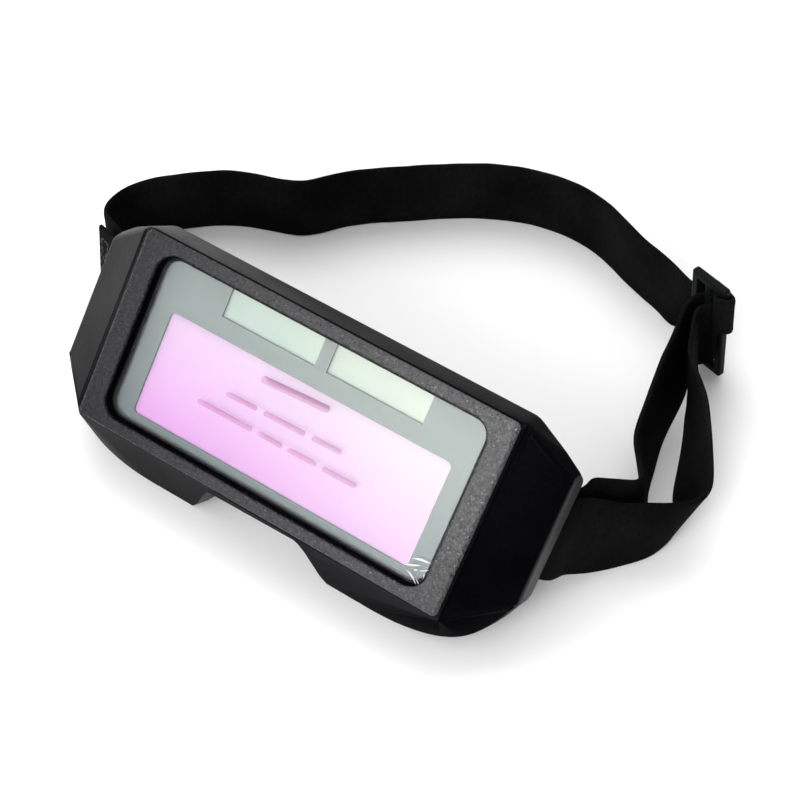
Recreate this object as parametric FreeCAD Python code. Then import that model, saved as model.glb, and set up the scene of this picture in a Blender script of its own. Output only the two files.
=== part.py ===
"""Welding goggles with a shallow faceted housing, a flat auto-darkening filter and an elastic strap.

Millimetres, +Z up. The goggles lie on a table, lens up and to the front, on the cheek lobes and
the lower edge of the face side, and the strap stands behind them on its edge.

Housing pieces are drawn upright first: x to the side, y from the lens towards the face, z up, with
the zero point at the middle of the dark viewing window, on the plane of the front frame. They are
then tipped back by PITCH. The origin ends up under the middle of the whole footprint.
"""
import FreeCAD, Part
import math
import os

from FreeCAD import Vector

os.makedirs("parts", exist_ok=True)

# Driving dimensions
PITCH = 44.0            # how far the lens plane is tipped back from upright, degrees
WALL = 2.0              # housing wall
FRONT_W, FRONT_H = 120.0, 57.0      # front frame, outside
CENTRE_Z = 6.0          # middle of the front frame above the middle of the viewing window
APERTURE_W, APERTURE_H, APERTURE_R = 107.0, 50.0, 6.0
PLUG_W, PLUG_H = 117.0, 54.0        # part of the front frame that plugs into the housing
POCKET_W, POCKET_H = 109.2, 52.2    # pocket for the lenses and the filter cartridge
CARD_W, CARD_H = 108.6, 51.6        # cartridge, outside
COVER_W, COVER_H = 108.4, 51.4      # clear cover lenses
VIEW_W, VIEW_H = 92.0, 31.0         # dark viewing window
STACK_W, STACK_H = 96.0, 34.4       # sheets of the filter
SEAT_W, SEAT_H = 100.0, 44.0        # opening on the face side of the lens pocket
CLEAR = 0.2             # gap round a piece that pulls out

# Depths from the front plane towards the face
PLATE_BACK = 1.3        # front frame's plate
HOUSING_FRONT = 1.6
LIP_BACK = 3.4
COVER_FRONT, COVER_T = 3.45, 1.0
CARD_FRONT, CARD_BACK = 4.55, 9.75
CARD_FACE_T = 0.8
INNER_FRONT = 9.85
SEAT_FRONT, SEAT_BACK = 10.9, 12.6
PLUG_BACK = 7.0
HOLLOW_FRONT = 4.0      # where the hollow of the side wings begins

# Housing outline
BROW_Y, BROW_Z = 14.2, 35.4
WING_X, WING_Y, WING_TOP, WING_LOW = 76.0, 12.0, 24.2, -11.8
SIDE_BACK = 21.0        # end of the straight side wall
SHOULDER = (71.0, 14.0, 30.0)       # between the brow's outer end and the wing
LOBE_Y, LOBE_Z = 16.8, -35.9        # lowest line of the cheek lobes
LOBE_ARC = [                        # a cheek lobe's rounded edge, from its lowest line up to the wing
    (36.0, LOBE_Y, LOBE_Z),
    (45.0, 16.8, -35.5),
    (51.0, 16.8, -34.6),
    (56.5, 16.8, -33.2),
    (61.0, 16.8, -31.4),
    (64.4, 16.6, -29.3),
    (67.0, 16.2, -26.9),
    (69.4, 15.4, -23.8),
    (72.6, 14.0, -18.9),
    (75.0, 12.8, -14.2),
    (WING_X, WING_Y, WING_LOW),
]
LOBE_FACES = 26         # narrow faces that round each lobe
LOBE_CLIMB_LOW, LOBE_CLIMB_TOP = 0.966, -0.05   # rise per mm of depth behind the arc, at its two ends
BROW_X = 59.5                       # outer end of the brow's ridge
TEMPLE_X, TEMPLE_Y = 66.0, 42.0     # side of the face rim
CROWN_Z = 27.8                      # top of the face rim
CROWN_END = (60.0, 42.0, 25.0)      # outer end of the face rim's top
TEMPLE_TOP = (66.0, 42.0, 20.5)
PARTING = 0.3           # the housing's front is this much wider than the front frame, all round
SIDE_TAPER = math.degrees(math.atan2(WING_X - TEMPLE_X, TEMPLE_Y - SIDE_BACK))
FACE_R, FACE_CENTRE_Y = 100.0, 122.0
NOSE_HALF = [                       # nose space, x and z in front
    (12.0, -23.4),
    (15.4, -25.4),
    (17.2, -27.6),
    (18.9, -30.6),
    (21.0, -34.4),
    (24.0, -37.4),
]
NOSE_RISE = 5.4         # the nose space rises this much over 60 mm of depth
NOSE_FLANK = 0.8        # share of the wall that the flanks of the nose space move out by

# Strap
BAND_W, BAND_T = 25.0, 1.4
SLOT_LEN, SLOT_W = 27.0, 3.0
SLOT_FRONT_Y = 23.0     # middle of the front slot, and of the rear one
SLOT_REAR_Y = 29.0
SLOT_Z = 6.2
LIFT = 3.8              # the buckle holds the strap this far off the table

# Buckle
BUCKLE_L, BUCKLE_W, BUCKLE_T = 35.6, 13.6, 2.6
BUCKLE_EDGE = 0.8       # rounding of its outer edges
BAR, GAP = 2.4, 3.2
BUCKLE_AT = Vector(72.2, 113.9, 18.7)
BUCKLE_TURN = -19.0     # heading of the strap where it enters the buckle, degrees
BUCKLE_ROLL = 7.0       # the buckle leans this far over within its own plane, degrees

COS, SIN = math.cos(math.radians(PITCH)), math.sin(math.radians(PITCH))
HEIGHT = LOBE_Y * SIN - LOBE_Z * COS        # viewing window's middle above the table
MIDDLE = Vector(0.77, 59.63, 0.0)            # middle of the footprint, before it is moved to the origin
UP = Vector(0, SIN, COS)                    # the goggles' own upright direction once tipped


def save(name, shape, tipped=True):
    """Place a shape in the part's frame and write it as a node."""
    placed = shape.copy()
    if tipped:
        placed.rotate(Vector(0, 0, 0), Vector(1, 0, 0), -PITCH)
        placed.translate(Vector(0, 0, HEIGHT))
    placed.translate(-MIDDLE)
    placed.exportStep("parts/%s.step" % name)
    extent = placed.BoundBox
    print("%-24s solids %d valid %s volume %9.1f  x %7.2f %7.2f  y %7.2f %7.2f  z %6.2f %6.2f" % (
        name, len(placed.Solids), placed.isValid(), placed.Volume,
        extent.XMin, extent.XMax, extent.YMin, extent.YMax, extent.ZMin, extent.ZMax))


def slab(width, height, front, back, centre_z=CENTRE_Z, radius=0.0, centre_x=0.0):
    """Upright rectangular plate between two depths, with rounded corners if radius is set."""
    plate = Part.makeBox(width, back - front, height,
                         Vector(centre_x - width / 2, front, centre_z - height / 2))
    if radius:
        plate = plate.makeFillet(radius, [e for e in plate.Edges if is_along_depth(e)])
    return plate


def is_along_depth(edge):
    """True for an edge that runs straight from front to back."""
    run = edge.Vertexes[-1].Point - edge.Vertexes[0].Point
    return abs(run.y) > 0.999 * run.Length


def trim(solid, points, inset=0.0):
    """Cut away what lies outside the plane through three points, moved inwards by inset."""
    first, second, third = [Vector(*p) for p in points]
    normal = (second - first).cross(third - first).normalize()
    if (first - Vector(0, LOBE_Y, 0)).dot(normal) < 0:
        normal = -normal
    beyond = Part.makeBox(400, 400, 200, Vector(-200, -200, 0))
    beyond.Placement = FreeCAD.Placement(first - normal * inset, FreeCAD.Rotation(Vector(0, 0, 1), normal))
    return solid.cut(beyond)


def housing_form(inset):
    """The faceted outer form of the housing, moved inwards by inset on every side but the front."""
    front = HOUSING_FRONT
    half_w = FRONT_W / 2 + PARTING
    top = CENTRE_Z + FRONT_H / 2 + PARTING
    low = CENTRE_Z - FRONT_H / 2 - PARTING
    sides = [
        [(0, front, top), (half_w, front, top), (0, BROW_Y, BROW_Z)],
        [(0, BROW_Y, BROW_Z), (half_w, BROW_Y, BROW_Z), (0, TEMPLE_Y, CROWN_Z)],
        [(0, front, low), (half_w, front, low), (0, LOBE_Y, LOBE_Z)],
        [(0, LOBE_Y, LOBE_Z), (half_w, LOBE_Y, LOBE_Z), (0, LOBE_Y + COS, LOBE_Z + SIN)],
    ]
    for side in (-1, 1):
        corner = (side * half_w, front, top)
        foot = (side * half_w, front, low)
        wing_top = (side * WING_X, WING_Y, WING_TOP)
        wing_low = (side * WING_X, WING_Y, WING_LOW)
        side_top = (side * WING_X, SIDE_BACK, WING_TOP)
        brow_end = (side * BROW_X, BROW_Y, BROW_Z)
        shoulder, crown_end, temple_top = [(side * p[0],) + p[1:] for p in (SHOULDER, CROWN_END, TEMPLE_TOP)]
        sides += [
            [corner, foot, wing_top],
            [wing_top, wing_low, side_top],
            [side_top, (side * WING_X, SIDE_BACK, 0), (side * TEMPLE_X, TEMPLE_Y, 0)],
            [corner, shoulder, brow_end],
            [corner, shoulder, wing_top],
            [brow_end, shoulder, crown_end],
            [shoulder, side_top, temple_top],
        ]
        for one, two, climb in lobe_strips(side):
            sides.append([foot, one, two])
            sides.append([one, two, (two[0], two[1] + 1, two[2] + climb)])
    form = Part.makeBox(200, 60, 120, Vector(-100, front, -60))
    for plane in sides:
        form = trim(form, plane, inset)
    return form


def lobe_strips(side):
    """Ends of each narrow face along a cheek lobe's arc, and how fast the lobe climbs behind it."""
    curve = Part.BSplineCurve()
    curve.interpolate(Points=[Vector(side * x, y, z) for x, y, z in LOBE_ARC])
    first, last = curve.FirstParameter, curve.LastParameter
    points = [curve.value(first + (last - first) * i / LOBE_FACES) for i in range(LOBE_FACES + 1)]
    strips = []
    for i, (one, two) in enumerate(zip(points, points[1:])):
        share = ((i + 0.5) / LOBE_FACES) ** 2
        climb = LOBE_CLIMB_LOW + (LOBE_CLIMB_TOP - LOBE_CLIMB_LOW) * share
        strips.append((tuple(one), tuple(two), climb))
    return strips


def nose_space(grow):
    """Space for the nose between the cheek lobes. It rises towards the face."""
    right = [(x + grow * NOSE_FLANK, z + grow) for x, z in NOSE_HALF]
    right.append((right[-1][0], -90))
    outline = right + [(-x, z) for x, z in reversed(right)]
    corners = [Vector(x, 1.0, z) for x, z in outline]
    return Part.Face(Part.makePolygon(corners + corners[:1])).extrude(Vector(0, 60, NOSE_RISE))


def housing():
    """Black moulded shell: front opening, lens seat, hollow wings, face side, nose space, strap slots."""
    shell = housing_form(0).cut(nose_space(0))
    hollow = housing_form(WALL).cut(nose_space(WALL))
    pocket_wall = slab(POCKET_W + 2 * WALL, 200, 0, SEAT_BACK)
    hollow = hollow.cut(pocket_wall).cut(Part.makeBox(300, HOLLOW_FRONT, 300, Vector(-150, 0, -150)))
    shell = shell.cut(hollow)
    shell = shell.cut(slab(PLUG_W + 2 * CLEAR, PLUG_H + 2 * CLEAR, 0, PLUG_BACK + CLEAR))
    shell = shell.cut(slab(POCKET_W + CLEAR, POCKET_H + CLEAR, 0, SEAT_FRONT))
    shell = shell.cut(slab(SEAT_W, SEAT_H, 0, SEAT_BACK + 1, radius=4.0))
    shell = shell.cut(Part.makeCylinder(FACE_R, 200, Vector(0, FACE_CENTRE_Y, -100)))
    for side in (-1, 1):
        for depth in (SLOT_FRONT_Y, SLOT_REAR_Y):
            slot = Part.makeBox(30, SLOT_W, SLOT_LEN, Vector(-15, -SLOT_W / 2, -SLOT_LEN / 2))
            slot.rotate(Vector(0, 0, 0), Vector(0, 0, 1), side * SIDE_TAPER)
            slot.translate(Vector(side * side_wall_x(depth), depth, SLOT_Z))
            shell = shell.cut(slot)
    return shell


def side_wall_x(depth):
    """Outer face of the tapered side wall at a depth."""
    return WING_X - (depth - SIDE_BACK) * (WING_X - TEMPLE_X) / (TEMPLE_Y - SIDE_BACK)


def front_frame():
    """Bezel that plugs into the housing and holds the front cover lens."""
    plate = slab(FRONT_W, FRONT_H, 0, PLATE_BACK, radius=1.6)
    frame = plate.fuse(slab(PLUG_W, PLUG_H, PLATE_BACK, PLUG_BACK, radius=1.0))
    frame = frame.cut(slab(APERTURE_W, APERTURE_H, -1, LIP_BACK + 1, radius=APERTURE_R))
    return frame.cut(slab(POCKET_W, POCKET_H, LIP_BACK, PLUG_BACK + 1, radius=0.8)).removeSplitter()


# Filter cartridge
CELL_W, CELL_H, CELL_Z = 30.8, 10.0, 26.0       # windows of the solar cells
CELL_X = (-16.0, 18.6)
CELL_T, CELL_LAP = 0.4, 0.6                     # solar cell, and how much wider it is than its window
BOARD_W, BOARD_H, BOARD_Z, BOARD_T = 99.0, 12.2, 24.9, 0.8
BOARD_FRONT = CARD_FRONT + CARD_FACE_T + 0.55
BOARD_BACK = BOARD_FRONT + BOARD_T
TRAY_FLOOR = CARD_BACK - 0.6
CHIP_T = 1.4
CHIPS = [                                       # middle, width and height of each package
    (-38.0, 3.0, 2.0),
    (-30.0, 3.0, 2.0),
    (-12.0, 9.0, 5.0),
    (6.0, 6.0, 4.0),
    (22.0, 6.0, 4.0),
    (34.0, 3.0, 2.0),
    (42.0, 3.0, 2.0),
]
PIN_X = (-44.0, -40.0, 40.0, 44.0)
PIN_W, PIN_H, PIN_T = 1.2, 1.6, 0.8
FILM_W, FILM_H, FILM_R = 105.6, 48.6, 5.3       # protective film
SHEETS = [                                      # filter sheets from the lens side to the face side
    ("uv_ir_filter", 1.10),
    ("polarizer_front", 0.20),
    ("lc_cell_front", 1.00),
    ("polarizer_middle", 0.20),
    ("lc_cell_rear", 1.00),
    ("polarizer_rear", 0.20),
]


def cartridge_front_frame():
    """Grey face plate of the cartridge with the viewing window and the two solar windows."""
    plate = slab(CARD_W, CARD_H, CARD_FRONT, CARD_FRONT + CARD_FACE_T, radius=1.2)
    plate = plate.cut(slab(VIEW_W, VIEW_H, 0, SEAT_BACK, 0, radius=1.5))
    for x in CELL_X:
        plate = plate.cut(slab(CELL_W, CELL_H, 0, SEAT_BACK, CELL_Z, centre_x=x))
    return plate


def cartridge_rear_frame():
    """Tray behind the face plate. It holds the filter sheets and the circuit board."""
    tray = slab(CARD_W, CARD_H, CARD_FRONT + CARD_FACE_T, CARD_BACK, radius=1.2)
    tray = tray.cut(slab(STACK_W + 2 * CLEAR, STACK_H + 2 * CLEAR, 0, TRAY_FLOOR, 0))
    tray = tray.cut(slab(BOARD_W + 1.0, BOARD_H + 0.6, 0, TRAY_FLOOR, BOARD_Z))
    return tray.cut(slab(VIEW_W, VIEW_H, 0, SEAT_BACK, 0, radius=1.5))


def filter_sheets():
    """Write the sheets of the filter one behind the other."""
    depth = CARD_FRONT + CARD_FACE_T
    for name, thickness in SHEETS:
        save(name, slab(STACK_W, STACK_H, depth, depth + thickness, 0))
        depth += thickness + 0.01


def solar_cell(x):
    """Solar cell between the face plate's window and the board."""
    back = BOARD_FRONT - 0.05
    return slab(CELL_W + CELL_LAP, CELL_H + CELL_LAP, back - CELL_T, back, CELL_Z, centre_x=x)


def board_components():
    """Driver chip, two small chips and four capacitors on the back of the board."""
    return Part.makeCompound([
        slab(width, height, BOARD_BACK, BOARD_BACK + CHIP_T, BOARD_Z + 1.0, centre_x=x)
        for x, width, height in CHIPS])


def contact_pins():
    """Metal pins that join the edge of the liquid crystal cells to the board."""
    low = BOARD_Z - BOARD_H / 2 + 0.8
    return Part.makeCompound([
        slab(PIN_W, PIN_H, BOARD_BACK, BOARD_BACK + PIN_T, low, centre_x=x) for x in PIN_X])


# Strap
def tip(x, depth, z=SLOT_Z):
    """A point of the upright goggles, in the table's frame."""
    return Vector(x, depth * COS + z * SIN, HEIGHT - depth * SIN + z * COS)


def at_slot(x, depth):
    """Station of the strap at the housing, where it is as tipped as the goggles are."""
    return tip(x, depth), UP


def standing(x, y, lean_x=0.0, lean_y=0.0, low=0.2):
    """Station of the strap standing on the table. The lean is how far its top edge is out of plumb."""
    rise = math.sqrt(BAND_W ** 2 - lean_x ** 2 - lean_y ** 2)
    ruling = Vector(lean_x, lean_y, rise) / BAND_W
    return Vector(x + lean_x / 2, y + lean_y / 2, low + rise / 2), ruling


def ribbon(stations, samples):
    """Closed flat band through stations. Each is a centre point and the direction across the band."""
    reach = [0.0]
    for (one, _), (two, _) in zip(stations, stations[1:]):
        reach.append(reach[-1] + one.distanceToPoint(two))
    steps = [reach[-1] * i / (samples - 1) for i in range(samples)]
    edges = []
    for sign in (-0.5, 0.5):
        curve = Part.BSplineCurve()
        curve.interpolate(Points=[centre + ruling * (sign * BAND_W) for centre, ruling in stations],
                          Parameters=reach)
        edges.append([curve.value(step) for step in steps])
    low, high = edges
    middle = [(a + b) * 0.5 for a, b in zip(low, high)]
    rings = []
    for i in range(samples):
        along = middle[min(i + 1, samples - 1)] - middle[max(i - 1, 0)]
        across = (high[i] - low[i]).normalize()
        out = along.cross(across).normalize() * (BAND_T / 2)
        half = across * (BAND_W / 2)
        centre = middle[i]
        rings.append([centre - half - out, centre + half - out, centre + half + out, centre - half + out])
    return closed_solid(rings)


def closed_solid(rings):
    """Solid with flat three-cornered faces between rings of four points, capped at both ends."""
    faces = []
    for one, two in zip(rings, rings[1:]):
        for k in range(4):
            n = (k + 1) % 4
            faces.append([one[k], one[n], two[n]])
            faces.append([one[k], two[n], two[k]])
    for cap in (rings[0], rings[-1]):
        faces.append([cap[0], cap[1], cap[2]])
        faces.append([cap[0], cap[2], cap[3]])
    shell = Part.Shell([Part.Face(Part.makePolygon(f + f[:1])) for f in faces])
    solid = Part.Solid(shell)
    if solid.Volume < 0:
        solid.reverse()
    return solid


def buckle_point(along, behind):
    """Station in or beside the buckle: across from the middle bar, and behind its middle plane."""
    turn, roll = math.radians(BUCKLE_TURN), math.radians(BUCKLE_ROLL)
    heading = Vector(math.cos(turn), math.sin(turn), 0)
    back = Vector(-math.sin(turn), math.cos(turn), 0)
    upright = Vector(0, 0, math.cos(roll)) - heading * math.sin(roll)
    spot = BUCKLE_AT + heading * along + back * behind
    return spot + upright * (LIFT + BAND_W / 2 - BUCKLE_AT.z), upright


def strap_band():
    """Long run of the strap: sewn loop round the left bar, round behind the goggles, to the buckle."""
    return [
        at_slot(-69.8, SLOT_REAR_Y - 1.1),
        at_slot(-72.2, SLOT_REAR_Y),
        at_slot(-76.0, SLOT_REAR_Y + 1.9),
        at_slot(-80.6, SLOT_REAR_Y + 4.8),
        standing(-90.4, 36.8, -1.0, 5.0, 3.4),
        standing(-96.8, 43.6, -1.0, 2.0, 1.0),
        standing(-99.8, 52.0),
        standing(-96.6, 60.8),
        standing(-88.2, 70.4),
        standing(-77.0, 79.4),
        standing(-65.4, 84.3),
        standing(-56.0, 88.4),
        standing(-48.0, 97.6),
        standing(-34.6, 109.6),
        standing(-20.0, 121.0),
        standing(-7.4, 128.6),
        standing(6.0, 133.2),
        standing(16.0, 134.2),
        standing(24.6, 133.2),
        standing(31.6, 130.8, low=0.4),
        standing(44.4, 126.0, 0.4, -0.6, 0.4),
        standing(53.8, 122.8, 0.8, -0.2, 0.4),
        standing(59.6, 120.8, 4.0, -1.4, 0.8),
    ]


def strap_left_loop():
    """Folded end of the strap: out of the front slot on the left, sewn against the long run."""
    return [
        at_slot(-69.4, SLOT_REAR_Y - 2.4),
        at_slot(-69.6, SLOT_FRONT_Y + 1.8),
        at_slot(-71.6, SLOT_FRONT_Y - 1.2),
        at_slot(-75.2, SLOT_FRONT_Y + 0.1),
        at_slot(-80.0, SLOT_FRONT_Y + 3.0),
        standing(-88.0, 28.8, -0.6, 8.0, 5.6),
        standing(-93.2, 34.2, -1.0, 5.0, 3.2),
    ]


def strap_return():
    """Inner layer on the right: from the buckle's inner slot forward to the rear slot of the housing."""
    return [
        buckle_point(-2.9, 0.4),
        buckle_point(-3.4, -3.2),
        standing(73.6, 101.6, -5.8, -2.0, 3.0),
        standing(76.0, 90.0, -6.8, -0.4, 1.6),
        standing(77.4, 79.6, -5.8, -0.6, 0.8),
        standing(80.2, 69.4, -6.2, -1.0, 0.4),
        standing(83.4, 60.0, -6.4, 0.6, 0.6),
        standing(86.6, 50.6, -2.0, -1.0, 2.6),
        standing(81.8, 39.8, 0.2, 5.0, 5.6),
        standing(76.8, 31.5, 0.4, 10.0, 7.1),
        at_slot(73.8, SLOT_REAR_Y + 0.9),
        at_slot(72.2, SLOT_REAR_Y),
        at_slot(69.8, SLOT_REAR_Y - 1.1),
    ]


def strap_end():
    """Outer layer on the right: round the bar of the housing, out and back to the buckle's middle bar."""
    return [
        at_slot(69.4, SLOT_REAR_Y - 2.4),
        at_slot(69.6, SLOT_FRONT_Y + 1.8),
        at_slot(71.6, SLOT_FRONT_Y - 1.2),
        at_slot(75.2, SLOT_FRONT_Y + 0.1),
        standing(78.0, 21.8, 0.6, 14.4, 8.2),
        standing(82.0, 28.2, 2.0, 12.0, 4.2),
        standing(88.4, 37.6, 3.0, 8.0, 1.4),
        standing(93.6, 46.6, 5.0, 4.6, 0.6),
        standing(94.4, 55.4, 7.0, 1.6, 0.6),
        standing(90.0, 64.8, 8.2, 1.0, 0.6),
        standing(86.0, 75.0, 6.4, 0.4, 0.6),
        standing(81.8, 86.0, 3.8, 0.0, 1.4),
        standing(78.6, 95.0, 0.6, 0.0, 2.4),
        standing(76.2, 103.4, -1.4, 0.0, 3.2),
        buckle_point(1.2, -4.0),
        buckle_point(2.8, -0.6),
    ]


def buckle():
    """Three-bar slide buckle with two slots."""
    plate = Part.makeBox(BUCKLE_W, BUCKLE_T, BUCKLE_L, Vector(-BUCKLE_W / 2, -BUCKLE_T / 2, -BUCKLE_L / 2))
    plate = plate.makeFillet(BUCKLE_EDGE, plate.Edges)
    for side in (-1, 1):
        middle = side * (BAR + GAP) / 2
        plate = plate.cut(Part.makeBox(GAP, BUCKLE_T * 2, BUCKLE_L - 2 * BAR,
                                       Vector(middle - GAP / 2, -BUCKLE_T, BAR - BUCKLE_L / 2)))
    plate.rotate(Vector(0, 0, 0), Vector(0, 1, 0), -BUCKLE_ROLL)
    plate.rotate(Vector(0, 0, 0), Vector(0, 0, 1), BUCKLE_TURN)
    plate.translate(BUCKLE_AT)
    return plate


save("housing", housing())
save("front_frame", front_frame())
save("protective_film", slab(FILM_W, FILM_H, COVER_FRONT - 0.16, COVER_FRONT - 0.01, radius=FILM_R))
save("front_cover_lens", slab(COVER_W, COVER_H, COVER_FRONT, COVER_FRONT + COVER_T, radius=0.8))
save("cartridge_front_frame", cartridge_front_frame())
save("cartridge_rear_frame", cartridge_rear_frame())
filter_sheets()
save("solar_cell_left", solar_cell(CELL_X[0]))
save("solar_cell_right", solar_cell(CELL_X[1]))
save("circuit_board", slab(BOARD_W, BOARD_H, BOARD_FRONT, BOARD_BACK, BOARD_Z))
save("board_components", board_components())
save("contact_pins", contact_pins())
save("inner_cover_lens", slab(COVER_W, COVER_H, INNER_FRONT, INNER_FRONT + COVER_T, radius=0.8))
save("strap_band", ribbon(strap_band(), 90), tipped=False)
save("strap_left_loop", ribbon(strap_left_loop(), 24), tipped=False)
save("strap_return", ribbon(strap_return(), 36), tipped=False)
save("strap_end", ribbon(strap_end(), 48), tipped=False)
save("slide_buckle", buckle(), tipped=False)
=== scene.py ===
"""Looks of the welding goggles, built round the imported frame. Metres, +Z up.

Lengths in the tables below are millimetres and are turned into metres where a mesh is made. "Upright"
points are given as x to the side, y from the front plane towards the face, z up, before the goggles
are tipped back.
"""
import math
import random

import bmesh
import bpy
from mathutils import Matrix, Vector


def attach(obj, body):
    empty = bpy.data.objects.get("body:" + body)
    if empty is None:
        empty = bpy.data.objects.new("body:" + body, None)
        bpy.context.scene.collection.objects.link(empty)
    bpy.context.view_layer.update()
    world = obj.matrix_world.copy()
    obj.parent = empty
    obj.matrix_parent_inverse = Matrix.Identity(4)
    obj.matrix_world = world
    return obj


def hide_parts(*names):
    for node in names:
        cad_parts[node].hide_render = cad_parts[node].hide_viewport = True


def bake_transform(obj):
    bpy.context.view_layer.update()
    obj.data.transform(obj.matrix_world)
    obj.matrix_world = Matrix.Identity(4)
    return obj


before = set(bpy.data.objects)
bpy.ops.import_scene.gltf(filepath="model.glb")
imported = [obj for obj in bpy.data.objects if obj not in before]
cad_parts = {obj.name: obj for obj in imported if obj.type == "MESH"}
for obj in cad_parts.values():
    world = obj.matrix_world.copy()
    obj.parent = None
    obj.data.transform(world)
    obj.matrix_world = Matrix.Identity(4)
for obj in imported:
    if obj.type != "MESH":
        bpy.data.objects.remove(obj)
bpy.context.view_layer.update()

MM = 0.001
PITCH = math.radians(44)                # how far the lens plane is tipped back from upright
COS, SIN = math.cos(PITCH), math.sin(PITCH)
LOBE_Y, LOBE_Z = 16.8, -35.9            # lowest line of the cheek lobes, which lie on the table
HEIGHT = LOBE_Y * SIN - LOBE_Z * COS    # viewing window's middle above the table
MIDDLE = Vector((0.77, 59.63, 0))       # middle of the footprint, in table millimetres
ACROSS = Vector((0, SIN, COS))          # the goggles' own upright direction
FRONT = Vector((0, -COS, SIN))          # out of the front face
CENTRE_Z = 6.0                          # front frame's middle above the viewing window's middle

# Front frame's rounded rectangles: width, height, corner radius
FRAME_EDGE = (120.0, 57.0, 1.8)         # its outside
APERTURE = (107.0, 50.0, 6.0)           # the opening in front of the window
PLUG = (117.0, 54.0, 1.0)               # the part that plugs into the housing
POCKET = (109.2, 52.2, 0.8)             # the room for the lenses and the cartridge
PLATE_BACK, LIP_BACK, PLUG_BACK = 1.3, 3.4, 7.0     # depths from the front plane
CORNERS = ((1, 1), (-1, 1), (-1, -1), (1, -1))      # signs of a rectangle's corners, in order round it


def place(point):
    """Table point in millimetres to the frame of the part in metres."""
    return (Vector(point) - MIDDLE) * MM


def tip(x, y, z):
    """Upright goggles point in millimetres to a table point in millimetres."""
    return Vector((x, y * COS + z * SIN, HEIGHT - y * SIN + z * COS))


def upright(x, y, z):
    """Upright goggles point in millimetres to the frame of the part in metres."""
    return place(tip(x, y, z))


# ---------------------------------------------------------------- materials
def new_material(name):
    """Principled material, and its tree and shader."""
    material = bpy.data.materials.new(name)
    material.use_nodes = True
    tree = material.node_tree
    return material, tree, tree.nodes["Principled BSDF"]


def node(tree, kind, values=None, **settings):
    """New node. Its inputs get plain values or links, its other settings get the keywords."""
    made = tree.nodes.new(kind)
    for key, value in settings.items():
        setattr(made, key, value)
    for key, value in (values or {}).items():
        if isinstance(value, bpy.types.NodeSocket):
            tree.links.new(value, made.inputs[key])
        else:
            made.inputs[key].default_value = value
    return made


def place_of(tree, scale=(1, 1, 1), turn=(0, 0, 0)):
    """Object coordinates, which are metres in the part's frame, turned and then stretched."""
    coords = node(tree, "ShaderNodeTexCoord").outputs["Object"]
    turned = node(tree, "ShaderNodeMapping", {"Vector": coords, "Rotation": turn})
    return node(tree, "ShaderNodeMapping", {"Vector": turned.outputs[0], "Scale": scale}).outputs[0]


def noise(tree, where, scale, detail=2.0, rough=0.5):
    """Noise between 0 and 1, with a scale per metre."""
    values = {"Vector": where, "Scale": scale, "Detail": detail, "Roughness": rough}
    return node(tree, "ShaderNodeTexNoise", values).outputs["Fac"]


def blend_colour(tree, factor, one, two):
    """Colour between two colours."""
    mix = node(tree, "ShaderNodeMix", {0: factor, 6: (*one, 1), 7: (*two, 1)}, data_type="RGBA")
    return mix.outputs[2]


def tinted(tree, factor, colour, other):
    """Socket's colour, mixed with another colour."""
    return node(tree, "ShaderNodeMix", {0: factor, 6: colour, 7: (*other, 1)}, data_type="RGBA").outputs[2]


def remap(tree, value, low, high, to_low, to_high):
    """Value stretched from one range to another, and kept inside it."""
    values = {"Value": value, "From Min": low, "From Max": high, "To Min": to_low, "To Max": to_high}
    return node(tree, "ShaderNodeMapRange", values).outputs[0]


def math_of(tree, operation, one, two):
    """Sum, product or other result of two values."""
    return node(tree, "ShaderNodeMath", {0: one, 1: two}, operation=operation).outputs[0]


def along_direction(tree, direction):
    """How far a point lies along a direction, and that reading at the middle of the viewing window."""
    coords = node(tree, "ShaderNodeTexCoord").outputs["Object"]
    reach = node(tree, "ShaderNodeVectorMath", {0: coords, 1: direction}, operation="DOT_PRODUCT")
    return reach.outputs["Value"], direction.dot(place(tip(0, 0, 0)))


def bump(tree, height, distance, strength=1.0, under=None):
    """Normal that follows a height, on top of another bump if there is one."""
    values = {"Height": height, "Distance": distance, "Strength": strength}
    if under is not None:
        values["Normal"] = under
    return node(tree, "ShaderNodeBump", values).outputs[0]


def recess_depth(tree, start, end):
    """0 on the front face of the goggles, 1 deeper than end."""
    deep, zero = along_direction(tree, -FRONT)
    return remap(tree, deep, zero + start, zero + end, 0, 1)


def painted_gloss_shading(tree, painted_gloss_slope, low_matt, painted_side_highlight):
    """Painted reflection: gloss that runs from left to right, is duller low down, and gains on faces that
    look to the right, standing in for how light falls on each side.
    """
    left, right, low, high = -0.066, 0.060, -0.030, 0.012
    coords = node(tree, "ShaderNodeTexCoord")
    across = node(tree, "ShaderNodeSeparateXYZ", {0: coords.outputs["Object"]}).outputs["X"]
    up, zero = along_direction(tree, ACROSS)
    fade = remap(tree, up, zero + low, zero + high, low_matt, 1)
    level = math_of(tree, "MULTIPLY", remap(tree, across, left, right, *painted_gloss_slope), fade)
    # Painted highlight: faces that look to the right get more gloss.
    facing = node(tree, "ShaderNodeSeparateXYZ", {0: coords.outputs["Normal"]}).outputs["X"]
    return math_of(tree, "ADD", level, remap(tree, facing, 0.75, 0.95, 0, painted_side_highlight))


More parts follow.
